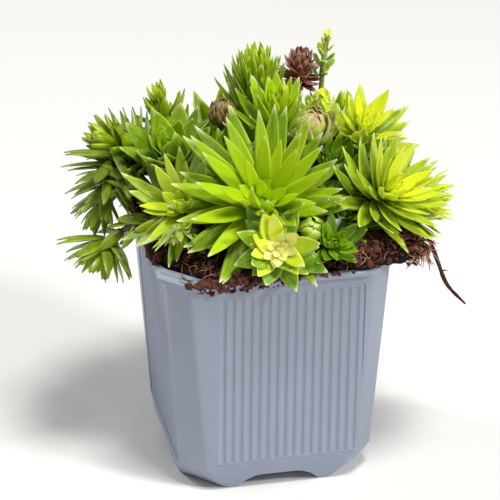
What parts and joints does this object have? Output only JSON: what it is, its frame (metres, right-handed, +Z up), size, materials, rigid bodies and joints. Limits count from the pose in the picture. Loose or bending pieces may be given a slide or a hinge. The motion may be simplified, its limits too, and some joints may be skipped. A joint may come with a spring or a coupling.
{
  "type": "potted hens and chicks",
  "caption": "Square ribbed nursery pot of peat, filled with pointed-leaved hens and chicks rosettes, offsets, buds, dried heads and trailing shoots.",
  "frame": {"origin": "under the middle of the whole plant, on the plane of the pot's feet", "axes": "+Z up, -Y towards the front face that the large rosette leans over, +X to its right"},
  "size_m": [0.1568, 0.1188, 0.1632],
  "materials": {
    "pot_plastic": "satin",
    "peat": "fibrous and matt",
    "leaf": "fleshy, satin",
    "leaf_deep": "fleshy, satin",
    "leaf_bright": "fleshy, satin",
    "leaf_pale": "fleshy, satin",
    "bud": "fleshy, satin",
    "dried_head": "dry and matt",
    "dry_stem": "dry and matt"
  },
  "bodies": {
    "root": {"pot": "pot_plastic", "soil": "peat", "runner": "dry_stem", "chick_front": "leaf_pale", "bud_front": "leaf_pale", "rosette_main": "leaf", "rosette_front": "leaf_deep", "rosette_left_star": "leaf_bright", "rosette_left_low": "leaf_pale", "rosette_left_broad": "leaf", "shoot_left_fan": "leaf", "shoot_left_trail": "leaf_deep", "shoot_left_hang": "leaf", "head_dried_front": "dried_head", "tuft_back": "leaf", "rosette_middle": "leaf", "bud_pink": "bud", "rosette_right_yellow": "leaf_bright", "rosette_right": "leaf_bright", "rosette_right_outer": "leaf_bright", "rosette_low_right": "leaf_deep", "rosette_shade": "leaf_deep", "rosette_shade_left": "leaf_deep", "rosette_small": "leaf_bright", "shoot_pale": "leaf_pale", "head_dried_back": "dried_head", "rosette_left_back": "leaf", "rosette_dark": "leaf_deep", "rosette_back_left": "leaf", "rosette_back": "leaf", "chick_back": "leaf_bright", "rosette_back_right": "leaf", "rosette_right_back": "leaf_bright"}
  },
  "joints": []
}
